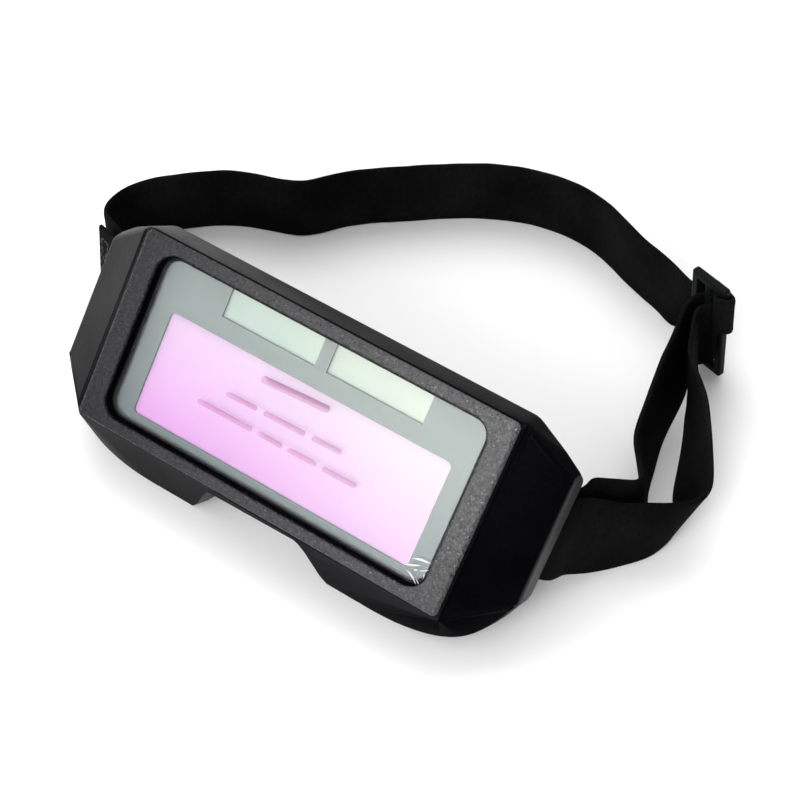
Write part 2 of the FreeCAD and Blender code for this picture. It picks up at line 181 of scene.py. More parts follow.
def plastic(name, dark, light, rough, grain, depth, coarse=0.0, wear_and_edge_highlight=0.0, gloss=0.3, speckled=0.0,
            painted_recess_shade=False, painted_gloss_slope=None, painted_side_highlight=0.0, low_matt=1.0):
    """Moulded plastic: mottled colour, a moulded grain of a given pitch, gloss that can be varied to paint
    reflection, and edges lightened as rubbed wear and painted highlight.

    The gloss slope, which takes the place of gloss, is painted reflection: the gloss at the left and at the
    right of the goggles, set by how light falls there. low_matt is the share of it that is left low down, and
    the painted side highlight is what faces to the right gain.
    The painted recess shade, which needs a slope, darkens what lies behind the front face and takes away its
    gloss, standing in for shade in the opening and along the sides.
    """
    material, tree, shader = new_material(name)
    where = place_of(tree)
    broad = noise(tree, where, 55, 3)
    fine = noise(tree, where, 1 / grain, 2.5, 0.6)
    specks = node(tree, "ShaderNodeTexVoronoi", {"Vector": where, "Scale": 0.8 / grain}).outputs["Distance"]
    mottle = math_of(tree, "MULTIPLY", broad, fine)
    colour = blend_colour(tree, remap(tree, mottle, 0.12, 0.42, 0, 1), dark, light)
    # Edges lightened by pointiness: partly rubbed wear, partly a painted highlight where light catches them.
    if wear_and_edge_highlight:
        edge = node(tree, "ShaderNodeNewGeometry").outputs["Pointiness"]
        rubbed_and_lit = remap(tree, edge, 0.53, 0.62, 0, wear_and_edge_highlight)
        colour = tinted(tree, rubbed_and_lit, colour, [min(1, c * 3.2 + 0.012) for c in light])
    matt = remap(tree, broad, 0.3, 0.7, rough - 0.06, rough + 0.08)
    matt = math_of(tree, "ADD", matt, remap(tree, specks, 0.1, 0.6, -speckled, speckled))
    tree.links.new(matt, shader.inputs["Roughness"])
    bumped = bump(tree, fine, depth)
    if coarse:
        bumped = bump(tree, specks, coarse, under=bumped)
    tree.links.new(bumped, shader.inputs["Normal"])
    shader.inputs["Specular IOR Level"].default_value = gloss
    if painted_gloss_slope:
        level = painted_gloss_shading(tree, painted_gloss_slope, low_matt, painted_side_highlight)
        # Painted shade: the same plastic is darkened to near black and loses its gloss behind the front face.
        if painted_recess_shade:
            deep = recess_depth(tree, 0.0006, 0.0014)
            level = math_of(tree, "MULTIPLY", level, remap(tree, deep, 0, 1, 1, 0.05))
            colour = tinted(tree, deep, colour, (0.002, 0.002, 0.003))
        tree.links.new(level, shader.inputs["Specular IOR Level"])
    tree.links.new(colour, shader.inputs["Base Color"])
    return material


def clear(name, tint, alpha, rough, waviness=0.0):
    """Clear sheet plastic with a few faint scratches and slow waves."""
    material, tree, shader = new_material(name)
    where = place_of(tree)
    scratches = noise(tree, place_of(tree, (900, 40, 900), (0.3, 0.2, 0.9)), 1.0, 2)
    colour = blend_colour(tree, remap(tree, scratches, 0.55, 0.75, 0, 0.4), tint, (1, 1, 1))
    tree.links.new(colour, shader.inputs["Base Color"])
    tree.links.new(remap(tree, scratches, 0.4, 0.8, rough, rough + 0.12), shader.inputs["Roughness"])
    if waviness:
        tree.links.new(bump(tree, noise(tree, where, 90, 2), waviness), shader.inputs["Normal"])
    shader.inputs["Alpha"].default_value = alpha
    shader.inputs["Specular IOR Level"].default_value = 0.8
    return material


def painted_light_slant(tree, start, end, one, two):
    """Painted light: colour that grows lighter towards the upper right of the window, as if more light falls
    and reflects there, with a slow cloud in it.
    """
    along, zero = along_direction(tree, Vector((0.25, 0, 0)) + ACROSS)
    cloud = remap(tree, noise(tree, place_of(tree), 30, 3), 0.3, 0.7, -0.0015, 0.0015)
    mixed = math_of(tree, "ADD", along, cloud)
    return blend_colour(tree, remap(tree, mixed, zero + start * MM, zero + end * MM, 0, 1), one, two)


def smeared(tree, shader):
    """Glazed surface: gloss that changes in long smears."""
    smear = noise(tree, place_of(tree, (60, 200, 60)), 1.0, 3)
    tree.links.new(remap(tree, smear, 0.3, 0.7, 0.16, 0.24), shader.inputs["Roughness"])


def window_pink():
    """Interference coating: deep pink at the lower left of the window, almost white at the upper right, where
    a painted reflection lightens it.
    """
    material, tree, shader = new_material("filter_pink")
    colour = painted_light_slant(tree, -25, 25, (0.78, 0.37, 0.80), (0.80, 0.70, 0.80))
    tree.links.new(colour, shader.inputs["Base Color"])
    smeared(tree, shader)
    shader.inputs["Specular IOR Level"].default_value = 0.25
    return material


def printed_grey():
    """Grey-green printed face of the cartridge, with painted light making it lighter to the upper right."""
    material, tree, shader = new_material("cartridge_grey")
    colour = painted_light_slant(tree, -25, 40, (0.165, 0.205, 0.21), (0.37, 0.42, 0.395))
    fine = noise(tree, place_of(tree), 1500, 3)
    speck = blend_colour(tree, remap(tree, fine, 0.25, 0.75, 0, 1), (0.95, 0.95, 0.95), (1, 1, 1))
    mix = node(tree, "ShaderNodeMix", {0: 1.0, 6: colour, 7: speck}, data_type="RGBA", blend_type="MULTIPLY")
    tree.links.new(mix.outputs[2], shader.inputs["Base Color"])
    tree.links.new(remap(tree, fine, 0.3, 0.7, 0.36, 0.44), shader.inputs["Roughness"])
    tree.links.new(bump(tree, fine, 0.000004), shader.inputs["Normal"])
    shader.inputs["Specular IOR Level"].default_value = 0.3
    return material


def solar_glass():
    """Pale glazed cell with hair-fine collector lines, with painted light making it lighter to the upper
    right.
    """
    material, tree, shader = new_material("solar")
    across = node(tree, "ShaderNodeSeparateXYZ", {0: place_of(tree)}).outputs["X"]
    line = remap(tree, math_of(tree, "PINGPONG", across, 0.0019), 0.0, 0.00012, 0.06, 0)
    base = painted_light_slant(tree, 19, 33, (0.56, 0.68, 0.61), (0.74, 0.82, 0.70))
    tree.links.new(tinted(tree, line, base, (0.42, 0.52, 0.46)), shader.inputs["Base Color"])
    smeared(tree, shader)
    shader.inputs["Specular IOR Level"].default_value = 0.3
    return material


def elastic():
    """Black woven elastic: ribs across the strap come from its shape, threads and fuzz from bump."""
    material, tree, shader = new_material("elastic_black")
    where = place_of(tree)
    threads = node(tree, "ShaderNodeTexVoronoi", {"Vector": where, "Scale": 1900}).outputs["Distance"]
    fuzz = noise(tree, where, 900, 4, 0.7)
    tone = remap(tree, math_of(tree, "MULTIPLY", fuzz, noise(tree, where, 40, 3)), 0.15, 0.40, 0, 1)
    colour = blend_colour(tree, tone, (0.0016, 0.0016, 0.0020), (0.0075, 0.0075, 0.0082))
    tree.links.new(colour, shader.inputs["Base Color"])
    tree.links.new(remap(tree, fuzz, 0.3, 0.7, 0.78, 0.95), shader.inputs["Roughness"])
    tree.links.new(bump(tree, threads, 0.00012, 0.8, bump(tree, fuzz, 0.0001)), shader.inputs["Normal"])
    shader.inputs["Specular IOR Level"].default_value = 0.03
    return material


def thread():
    """Black sewing thread with a twist."""
    material, tree, shader = new_material("thread_black")
    where = place_of(tree, turn=(0.6, 0.5, 0.2))
    values = {"Vector": where, "Scale": 900, "Distortion": 1.5}
    twist = node(tree, "ShaderNodeTexWave", values).outputs["Fac"]
    colour = blend_colour(tree, twist, (0.002, 0.002, 0.003), (0.007, 0.007, 0.009))
    tree.links.new(colour, shader.inputs["Base Color"])
    tree.links.new(bump(tree, twist, 0.00008), shader.inputs["Normal"])
    shader.inputs["Roughness"].default_value = 0.5
    return material


def simple(name, one, two, scale, rough, depth, metal=0.0, alpha=1.0):
    """Two-tone surface with a fine grain, for inner pieces."""
    material, tree, shader = new_material(name)
    grain = noise(tree, place_of(tree), scale, 3)
    colour = blend_colour(tree, remap(tree, grain, 0.3, 0.7, 0, 1), one, two)
    tree.links.new(colour, shader.inputs["Base Color"])
    tree.links.new(remap(tree, grain, 0.3, 0.7, rough - 0.05, rough + 0.05), shader.inputs["Roughness"])
    tree.links.new(bump(tree, grain, depth), shader.inputs["Normal"])
    shader.inputs["Metallic"].default_value = metal
    shader.inputs["Alpha"].default_value = alpha
    return material


def board():
    """Green circuit board with tracks under the lacquer."""
    material, tree, shader = new_material("board_green")
    tracks = node(tree, "ShaderNodeTexBrick", {
        "Vector": place_of(tree, (1, 1, 1), (PITCH, 0, 0)), "Scale": 260, "Mortar Size": 0.06,
        "Color1": (0.02, 0.16, 0.06, 1), "Color2": (0.015, 0.12, 0.05, 1), "Mortar": (0.06, 0.32, 0.12, 1)})
    tree.links.new(tracks.outputs["Color"], shader.inputs["Base Color"])
    tree.links.new(bump(tree, tracks.outputs["Fac"], 0.00003), shader.inputs["Normal"])
    shader.inputs["Roughness"].default_value = 0.3
    return material


# The gloss slopes of the housing and front frame are painted reflection, and the housing's right-facing faces
# get a painted highlight.
HOUSING = plastic("housing_plastic", (0.0012, 0.0012, 0.0017), (0.0030, 0.0030, 0.0042), rough=0.44,
                  grain=0.00055, depth=0.00008, coarse=0.00004, wear_and_edge_highlight=0.5, painted_gloss_slope=(0.14, 0.006),
                  painted_side_highlight=0.22, low_matt=0.35)
# Front frame: painted shade darkens it behind its front face.
BEZEL = plastic("bezel_plastic", (0.004, 0.004, 0.006), (0.018, 0.018, 0.021), rough=0.34,
                grain=0.00085, depth=0.00048, coarse=0.00036, wear_and_edge_highlight=0.1, painted_gloss_slope=(0.24, 1.20),
                speckled=0.19, painted_recess_shade=True, low_matt=0.6)
BUCKLE = plastic("buckle_plastic", (0.002, 0.003, 0.003), (0.005, 0.006, 0.006), rough=0.42,
                 grain=0.00060, depth=0.00006, wear_and_edge_highlight=0.2, gloss=0.05)
RIM = plastic("lens_border_black", (0.0006, 0.0006, 0.0009), (0.0014, 0.0014, 0.0018), rough=0.30,
              grain=0.0004, depth=0.00001, gloss=0.06)
TRAY = plastic("cartridge_dark", (0.014, 0.014, 0.017), (0.026, 0.026, 0.030), 0.45, 0.0005, 0.00006)
CHIP = plastic("chip_black", (0.008, 0.008, 0.009), (0.016, 0.016, 0.017), 0.5, 0.0004, 0.00004)
LENS = clear("clear_plastic", (0.22, 0.28, 0.26), 0.07, 0.03)
SHEET = clear("film_clear", (0.30, 0.28, 0.31), 0.06, 0.12, 0.00004)
# Painted glints: whitish semi-clear colour on the film's creases stands in for light catching them.
CREASE_GLINT = simple("film_crease_glint", (0.86, 0.88, 0.86), (0.98, 0.99, 0.98), 700, 0.2, 0.00005, alpha=0.62)
PRINT = simple("film_print", (0.50, 0.10, 0.34), (0.62, 0.18, 0.44), 1200, 0.5, 0.000001, alpha=0.16)
PINK = window_pink()
GREY = printed_grey()
SOLAR = solar_glass()
ELASTIC = elastic()
THREAD = thread()
POLAR = simple("polarizer", (0.10, 0.11, 0.10), (0.16, 0.17, 0.16), 300, 0.2, 0.00001)
CRYSTAL = simple("liquid_crystal", (0.20, 0.26, 0.22), (0.28, 0.34, 0.29), 200, 0.12, 0.00001)
BOARD = board()
PIN = simple("pin_metal", (0.62, 0.48, 0.20), (0.80, 0.66, 0.34), 2500, 0.25, 0.00002, metal=1.0)


# ---------------------------------------------------------------- meshes
def add_object(name, mesh, material, body):
    """Piece of the visual model, with its material, riding a body if one is named."""
    piece = bpy.data.objects.new(name, mesh)
    bpy.context.scene.collection.objects.link(piece)
    piece.data.materials.clear()
    piece.data.materials.append(material)
    if body:
        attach(piece, body)
    return piece


def shade(mesh, angle):
    """Smooth faces, with a crease wherever two meet at more than the angle."""
    mesh.shade_smooth()
    mesh.set_sharp_from_angle(angle=math.radians(angle))


def mesh_of(name, points, faces, angle=32):
    """Mesh from points in metres and faces, with its faces turned outwards."""
    mesh = bpy.data.meshes.new(name)
    mesh.from_pydata([tuple(p) for p in points], [], faces)
    mesh.validate()
    work = bmesh.new()
    work.from_mesh(mesh)
    bmesh.ops.recalc_face_normals(work, faces=work.faces)
    work.to_mesh(mesh)
    work.free()
    shade(mesh, angle)
    return mesh


def cad_copy(name):
    """Editable copy of a CAD node's mesh, with each flat face in one piece."""
    work = bmesh.new()
    work.from_mesh(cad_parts[name].data)
    bmesh.ops.remove_doubles(work, verts=work.verts, dist=2e-6)
    bmesh.ops.dissolve_limit(work, angle_limit=math.radians(0.4), verts=work.verts, edges=work.edges)
    return work


def edges_over(work, least):
    """Edges whose two faces meet at more than an angle in degrees."""
    return [e for e in work.edges if len(e.link_faces) == 2 and e.calc_face_angle() > math.radians(least)]


def round_edges(work, edges, radius, segments, clamp=True):
    """Round edges by a radius in millimetres."""
    bmesh.ops.bevel(work, geom=edges, offset=radius * MM, segments=segments, profile=0.5, affect="EDGES",
                    clamp_overlap=clamp)


def finished(work, name):
    """Mesh from an editable copy, which is then let go."""
    mesh = bpy.data.meshes.new(name)
    work.to_mesh(mesh)
    work.free()
    return mesh


def outer_faces(work):
    """Faces that have the whole piece on one side of them."""
    spots = [v.co.copy() for v in work.verts]
    outer = set()
    for face in work.faces:
        base, normal = face.verts[0].co, face.normal
        if max((spot - base).dot(normal) for spot in spots) < 2e-5:
            outer.add(face)
    return outer


def housing_mesh():
    """Housing with broad rounding outside, fine rounding elsewhere and a groove round the front frame."""
    work = cad_copy("housing")
    outer = outer_faces(work)
    broad = [e for e in edges_over(work, 24) if all(f in outer for f in e.link_faces)]
    round_edges(work, broad, radius=1.3, segments=4, clamp=False)
    round_edges(work, edges_over(work, 42), radius=0.35, segments=2)
    mesh = cut_away(finished(work, "housing_look"), groove_meshes())
    shade(mesh, 35)
    return mesh


def groove_meshes():
    """Bars that cut the groove round the front frame: round down the sides, thin along top and bottom."""
    groove_x, groove_depth, radius = 61.35, 2.3, 1.35
    low, high = -23.4, 35.4
    turns = [2 * math.pi * k / 16 for k in range(16)]
    circle = [(radius * math.cos(turn), radius * math.sin(turn)) for turn in turns]
    bars = []
    for side in (-1, 1):
        rings = [[(side * (groove_x + out), groove_depth + deep, z) for out, deep in circle]
                 for z in (low - 1.0, high + 1.0)]
        bars.append(prism("groove_side", rings))
    front, back, half, reach = 1.2, 2.35, 1.3, 62.0
    for z in (high, low):
        corners = ((front, z - half), (back, z - half), (back, z + half), (front, z + half))
        bars.append(prism("groove_level", [[(x, y, h) for y, h in corners] for x in (-reach, reach)]))
    return bars


def prism(name, rings):
    """Closed solid between two rings of upright points."""
    count = len(rings[0])
    faces = [(k, (k + 1) % count, count + (k + 1) % count, count + k) for k in range(count)]
    faces += [tuple(range(count)), tuple(range(2 * count - 1, count - 1, -1))]
    return mesh_of(name, [upright(*p) for ring in rings for p in ring], faces)


def cut_away(mesh, cutters):
    """Mesh with the cutters' space taken out of it."""
    block = bpy.data.objects.new("cut_block", mesh)
    bpy.context.scene.collection.objects.link(block)
    tools = []
    for cutter in cutters:
        tool = bpy.data.objects.new("cut_tool", cutter)
        bpy.context.scene.collection.objects.link(tool)
        tools.append(tool)
        step = block.modifiers.new("cut", "BOOLEAN")
        step.operation, step.solver, step.object = "DIFFERENCE", "EXACT", tool
    graph = bpy.context.evaluated_depsgraph_get()
    result = bpy.data.meshes.new_from_object(block.evaluated_get(graph))
    for spare in tools + [block]:
        bpy.data.objects.remove(spare)
    return result


def buckle_mesh():
    """Slide buckle with all its sharp edges slightly rounded."""
    work = cad_copy("slide_buckle")
    round_edges(work, edges_over(work, 50), radius=0.35, segments=3)
    mesh = finished(work, "slide_buckle_look")
    shade(mesh, 35)
    return mesh


def weighted(piece):
    """Keep flat faces flat beside rounded edges."""
    piece.modifiers.new("normals", "WEIGHTED_NORMAL").keep_sharp = True


def corner_loop(size, depth):
    """Points of an upright rounded rectangle at a depth, starting at the right of its top edge."""
    width, height, radius = size
    points = []
    for quarter, (sx, sz) in enumerate(CORNERS):
        cx, cz = sx * (width / 2 - radius), sz * (height / 2 - radius)
        for i in range(9):
            turn = math.radians(90 * quarter + 90 * i / 8)
            points.append((cx + radius * math.cos(turn), depth, CENTRE_Z + cz + radius * math.sin(turn)))
    return points


def grown(size, by):
    """Rounded rectangle moved outwards by a distance on every side."""
    width, height, radius = size
    return width + 2 * by, height + 2 * by, radius + by


def swept(name, loops):
    """Closed skin over loops with equally many points, joined back to the first."""
    points = [upright(*p) for loop in loops for p in loop]
    count = len(loops[0])
    faces = []
    for one in range(len(loops)):
        two = (one + 1) % len(loops)
        for k in range(count):
            n = (k + 1) % count
            faces.append((one * count + k, one * count + n, two * count + n, two * count + k))
    return mesh_of(name, points, faces)


def ring_plate(name, outside, inside, front, back):
    """Flat frame between two rounded rectangles. Each is (width, height, corner radius)."""
    return swept(name, [corner_loop(outside, back), corner_loop(outside, front), corner_loop(inside, front),
                        corner_loop(inside, back)])


def front_frame_mesh():
    """Front frame: rounded outer and inner edges, flat face, plug behind, and the lip that holds the lens."""
    inner, outer = 0.5, 1.28
    loops = [corner_loop(POCKET, PLUG_BACK), corner_loop(POCKET, LIP_BACK), corner_loop(APERTURE, LIP_BACK)]
    for step in range(6):
        turn = math.radians(90 * step / 5)
        edge = grown(APERTURE, inner * (1 - math.cos(turn)))
        loops.append(corner_loop(edge, inner * (1 - math.sin(turn))))
    for step in range(7):
        turn = math.radians(90 * step / 6)
        edge = grown(FRAME_EDGE, -outer * (1 - math.sin(turn)))
        loops.append(corner_loop(edge, outer * (1 - math.cos(turn))))
    loops.append(corner_loop(FRAME_EDGE, PLATE_BACK))
    loops.append(corner_loop(PLUG, PLATE_BACK))
    loops.append(corner_loop(PLUG, PLUG_BACK))
    return swept("front_frame_look", loops)


# ---------------------------------------------------------------- strap
BAND_W, BAND_T = 25.0, 1.4              # strap's width and thickness
SLOT_FRONT_Y, SLOT_REAR_Y = 23.0, 29.0  # middle of the housing's front strap slot, and of the rear one
SLOT_Z = 6.2
BUCKLE_AT = Vector((72.2, 113.9, 18.7))     # buckle's middle
BUCKLE_TURN = math.radians(-19)         # heading of the strap where it enters the buckle
BUCKLE_ROLL = math.radians(7)           # the buckle leans this far over within its own plane
LIFT = 3.8                              # the buckle holds the strap this far off the table
LOOP_W, LOOP_UP = 14.0, 8.2             # width, and height up the bar, of the loop on the outer bar


def at_slot(x, depth):
    """Station of the strap at the housing: centre in table millimetres, and the direction across it."""
    return tip(x, depth, SLOT_Z), ACROSS


def standing(x, y, lean_x=0.0, lean_y=0.0, low=0.2):
    """Station of the strap standing on the table. The lean is how far its top edge is out of plumb."""
    rise = math.sqrt(BAND_W ** 2 - lean_x ** 2 - lean_y ** 2)
    centre = Vector((x + lean_x / 2, y + lean_y / 2, low + rise / 2))
    return centre, Vector((lean_x, lean_y, rise)) / BAND_W


def buckle_point(along, behind):
    """Station in or beside the buckle: across from the middle bar, and behind its middle plane."""
    heading = Vector((math.cos(BUCKLE_TURN), math.sin(BUCKLE_TURN), 0))
    back = Vector((-math.sin(BUCKLE_TURN), math.cos(BUCKLE_TURN), 0))
    rise = Vector((0, 0, math.cos(BUCKLE_ROLL))) - heading * math.sin(BUCKLE_ROLL)
    spot = BUCKLE_AT + heading * along + back * behind
    return spot + rise * (LIFT + BAND_W / 2 - BUCKLE_AT.z), rise


# Routes of the strap, from one end to the other. Their stations are listed one by one.
STRAP_BAND = [
    at_slot(-69.8, SLOT_REAR_Y - 1.1),
    at_slot(-72.2, SLOT_REAR_Y),
    at_slot(-76.0, SLOT_REAR_Y + 1.9),
    at_slot(-80.6, SLOT_REAR_Y + 4.8),
    standing(-90.4, 36.8, -1.0, 5.0, 3.4),
    standing(-96.8, 43.6, -1.0, 2.0, 1.0),
    standing(-99.8, 52.0),
    standing(-96.6, 60.8),
    standing(-88.2, 70.4),
    standing(-77.0, 79.4),
    standing(-65.4, 84.3),
    standing(-56.0, 88.4),
    standing(-48.0, 97.6),
    standing(-34.6, 109.6),
    standing(-20.0, 121.0),
    standing(-7.4, 128.6),
    standing(6.0, 133.2),
    standing(16.0, 134.2),
    standing(24.6, 133.2),
    standing(31.6, 130.8, low=0.4),
    standing(44.4, 126.0, 0.4, -0.6, 0.4),
    standing(53.8, 122.8, 0.8, -0.2, 0.4),
    standing(59.6, 120.8, 4.0, -1.4, 0.8),
    standing(66.8, 119.8, 1.6, -0.6, 5.4),
    standing(71.8, 118.4, -0.6, 0.0, 6.8),
    standing(76.2, 116.9, -2.4, 0.0, 6.8),
]
STRAP_LEFT_LOOP = [
    at_slot(-69.4, SLOT_REAR_Y - 2.4),
    at_slot(-69.6, SLOT_FRONT_Y + 1.8),
    at_slot(-71.6, SLOT_FRONT_Y - 1.2),
    at_slot(-75.2, SLOT_FRONT_Y + 0.1),
    at_slot(-80.0, SLOT_FRONT_Y + 3.0),
    standing(-88.0, 28.8, -0.6, 8.0, 5.6),
    standing(-93.2, 34.2, -1.0, 5.0, 3.2),
]
STRAP_RETURN = [
    buckle_point(-2.9, 0.4),
    buckle_point(-3.4, -3.2),
    standing(73.6, 101.6, -5.8, -2.0, 3.0),
    standing(76.0, 90.0, -6.8, -0.4, 1.6),
    standing(77.4, 79.6, -5.8, -0.6, 0.8),
    standing(80.2, 69.4, -6.2, -1.0, 0.4),
    standing(83.4, 60.0, -6.4, 0.6, 0.6),
    standing(86.6, 50.6, -2.0, -1.0, 2.6),
    standing(81.6, 39.4, 0.2, 5.0, 5.4),
    standing(76.0, 31.2, 0.0, 8.0, 8.8),
    (tip(73.9, SLOT_REAR_Y + 0.9, SLOT_Z + 1.1), ACROSS),
    at_slot(72.2, SLOT_REAR_Y),
    at_slot(69.8, SLOT_REAR_Y - 1.1),
]
STRAP_END = [
    at_slot(69.4, SLOT_REAR_Y - 2.4),
    at_slot(69.6, SLOT_FRONT_Y + 1.8),
    at_slot(71.6, SLOT_FRONT_Y - 1.2),
    at_slot(75.2, SLOT_FRONT_Y + 0.1),
    standing(78.0, 21.8, 0.6, 14.4, 8.2),
    standing(82.0, 28.2, 2.0, 12.0, 4.2),
    standing(88.4, 37.6, 3.0, 8.0, 1.4),
    standing(93.6, 46.6, 5.0, 4.6, 0.6),
    standing(94.4, 55.4, 7.0, 1.6, 0.6),
    standing(90.0, 64.8, 8.2, 1.0, 0.6),
    standing(86.0, 75.0, 6.4, 0.4, 0.6),
    standing(81.8, 86.0, 2.6, 0.0, 1.4),
    standing(78.6, 95.0, -3.4, 0.0, 2.4),
    standing(76.2, 103.4, -4.8, 0.0, 3.2),
    buckle_point(0.6, -4.2),
    buckle_point(1.9, -0.8),
    buckle_point(1.95, 0.9),
]


def loop_point(along, behind, up=0.0):
    """Station of the folded strap that is sewn round the buckle's outer bar."""
    centre, rise = buckle_point(along, behind)
    return centre + rise * (BUCKLE_AT.z - LIFT - BAND_W / 2 + LOOP_UP + up), rise


BUCKLE_LOOP = [
    loop_point(2.4, 2.3),
    loop_point(3.3, 1.5),
    loop_point(3.55, 0.0),
    loop_point(3.8, -1.7),
    loop_point(5.2, -2.6, 1.0),
    loop_point(6.9, -2.3, 1.8),
    loop_point(7.9, -0.9, 1.4),
    loop_point(7.9, 0.9, 0.6),
    loop_point(7.0, 2.1),
    loop_point(5.0, 2.45),
    loop_point(3.9, 2.9),
]


def spline(values, knots):
    """Natural cubic spline through vectors at knots. Returns a function of the parameter."""
    count = len(values)
    gaps = [b - a for a, b in zip(knots, knots[1:])]
    bend = [Vector((0, 0, 0)) for _ in values]
    scale, carry = [0.0] * count, [Vector((0, 0, 0)) for _ in values]
    for i in range(1, count - 1):
        step = (values[i + 1] - values[i]) / gaps[i] - (values[i] - values[i - 1]) / gaps[i - 1]
        pivot = 2 * (gaps[i - 1] + gaps[i]) - gaps[i - 1] * scale[i - 1]
        scale[i] = gaps[i] / pivot
        carry[i] = (step * 6 - carry[i - 1] * gaps[i - 1]) / pivot
    for i in range(count - 2, 0, -1):
        bend[i] = carry[i] - bend[i + 1] * scale[i]

    def at(t):
        i = 0
        while i < count - 2 and t > knots[i + 1]:
            i += 1
        a, b, gap = knots[i + 1] - t, t - knots[i], gaps[i]
        curved = (bend[i] * a ** 3 + bend[i + 1] * b ** 3) / (6 * gap)
        start = values[i] / gap - bend[i] * gap / 6
        end = values[i + 1] / gap - bend[i + 1] * gap / 6
        return curved + start * a + end * b
    return at


class Ribbon:
    """A strap's path: its middle line and the direction across it at every length."""

    def __init__(self, stations, width=BAND_W):
        knots = [0.0]
        for (one, _), (two, _) in zip(stations, stations[1:]):
            knots.append(knots[-1] + (two - one).length)
        self.length = knots[-1]
        self.low = spline([c - r * width / 2 for c, r in stations], knots)
        self.high = spline([c + r * width / 2 for c, r in stations], knots)

    def at(self, t):
        """Middle, direction across, and direction out of the strap's face, at a length in millimetres."""
        t = min(max(t, 0.0), self.length)
        low, high = self.low(t), self.high(t)
        one, two = max(t - 0.4, 0), min(t + 0.4, self.length)
        along = self.low(two) + self.high(two) - self.low(one) - self.high(one)
        across = (high - low).normalized()
        return (low + high) / 2, across, along.cross(across).normalized()


def section(width, thick, bead):
    """Outline of the strap across its length: across and out, with a slightly thicker woven edge."""
    half, flat = width / 2, thick / 2
    across = [-half + 1.4, -half + 3.0, -half * 0.5, 0.0, half * 0.5, half - 3.0, half - 1.4]
    swell = [bead, 0.0, 0.0, 0.0, 0.0, 0.0, bead]
    side = [(a, flat + s) for a, s in zip(across, swell)]
    edge = [(half - 0.45, flat * 0.92), (half - 0.08, flat * 0.5), (half, 0.0)]
    top = side + edge
    low = [(a, -o) for a, o in reversed(side + edge[:2])]
    rest = [(-a, -o) for a, o in edge[:2]] + [(-half, 0.0)] + [(-a, o) for a, o in reversed(edge[:2])]
    return top + low + rest


def strap_mesh(name, path, seed, thick=BAND_T, width=BAND_W):
    """Woven strap along a path, ribbed across, with slightly uneven edges and closed ends."""
    draw = random.Random(seed)
    phase = [draw.uniform(0, 6.28) for _ in range(3)]
    outline = section(width, thick, 0.07)
    pitch = 1.15
    count = int(path.length / (pitch / 4))
    points, faces = [], []
    for i in range(count + 1):
        t = path.length * i / count
        middle, across, out = path.at(t)
        rib = 0.045 * math.cos(2 * math.pi * t / pitch)
        waver = 0.16 * math.sin(t * 0.23 + phase[0]) + 0.10 * math.sin(t * 0.61 + phase[1])
        slack = 0.10 * math.sin(t * 0.41 + phase[2])
        for a, o in outline:
            size = 1 + waver / width * (1 if a > 0 else 0.7)
            ribbed = rib * (1.0 if abs(a) < width / 2 - 1 else 0.4)
            push = o * (1 + ribbed / (thick / 2)) + slack * (a / width) ** 2
            points.append(place(middle + across * (a * size) + out * push))
    ring = len(outline)
    for i in range(count):
        for k in range(ring):
            n = (k + 1) % ring
            faces.append((i * ring + k, i * ring + n, (i + 1) * ring + n, (i + 1) * ring + k))
    faces.append(tuple(range(ring)))
    faces.append(tuple(reversed(range(count * ring, count * ring + ring))))
    return mesh_of(name, points, faces, 50)


def stitches(name, path, rows):
    """Rows of thread on a strap, on the face away from its out direction.

    Each row is (t0, a0, t1, a1): a length along the strap and a place across it, for both ends.
    """
    joints, around = 7, 6
    points, faces = [], []
    for t0, a0, t1, a1 in rows:
        count = max(1, round(math.hypot(t1 - t0, a1 - a0) / 2.6))
        for i in range(count):
            one, two = (i + 0.12) / count, (i + 0.88) / count
            base = len(points)
            for j in range(joints):
                share = one + (two - one) * j / (joints - 1)
                t, a = t0 + (t1 - t0) * share, a0 + (a1 - a0) * share
                middle, across, out = path.at(t)
                ahead = (path.at(t + 0.5)[0] - path.at(t - 0.5)[0]).normalized()
                run = (ahead * (t1 - t0) + across * (a1 - a0)).normalized()
                wide = run.cross(out).normalized()
                hump = math.sin(math.pi * j / (joints - 1)) ** 0.5 if 0 < j < joints - 1 else 0.0
                radius = 0.10 + 0.16 * hump
                centre = middle + across * a - out * (BAND_T / 2 - 0.13 + 0.20 * hump)
                for k in range(around):
                    turn = 2 * math.pi * k / around
                    side = wide * (radius * math.cos(turn)) + out * (radius * math.sin(turn))
                    points.append(place(centre + side))
            for j in range(joints - 1):
                low, high = base + j * around, base + (j + 1) * around
                for k in range(around):
                    n = (k + 1) % around
                    faces.append((low + k, low + n, high + n, high + k))
            faces.append(tuple(base + k for k in range(around)))
            last = base + (joints - 1) * around
            faces.append(tuple(last + k for k in reversed(range(around))))
    return mesh_of(name, points, faces, 60)


band_path, loop_path = Ribbon(STRAP_BAND), Ribbon(STRAP_LEFT_LOOP)
return_path, end_path = Ribbon(STRAP_RETURN), Ribbon(STRAP_END)
bar_path = Ribbon(BUCKLE_LOOP, LOOP_W)

band = add_object("strap_band_woven", strap_mesh("strap_band_woven", band_path, seed=3),
                  ELASTIC, None)
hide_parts("strap_band")
loop = add_object("strap_loop_woven", strap_mesh("strap_loop_woven", loop_path, seed=4),
                  ELASTIC, "goggles")
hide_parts("strap_left_loop")
inner = add_object("strap_return_woven", strap_mesh("strap_return_woven", return_path, seed=5),
                   ELASTIC, None)
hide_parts("strap_return")
outer = add_object("strap_end_woven", strap_mesh("strap_end_woven", end_path, seed=6),
                   ELASTIC, None)
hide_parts("strap_end")

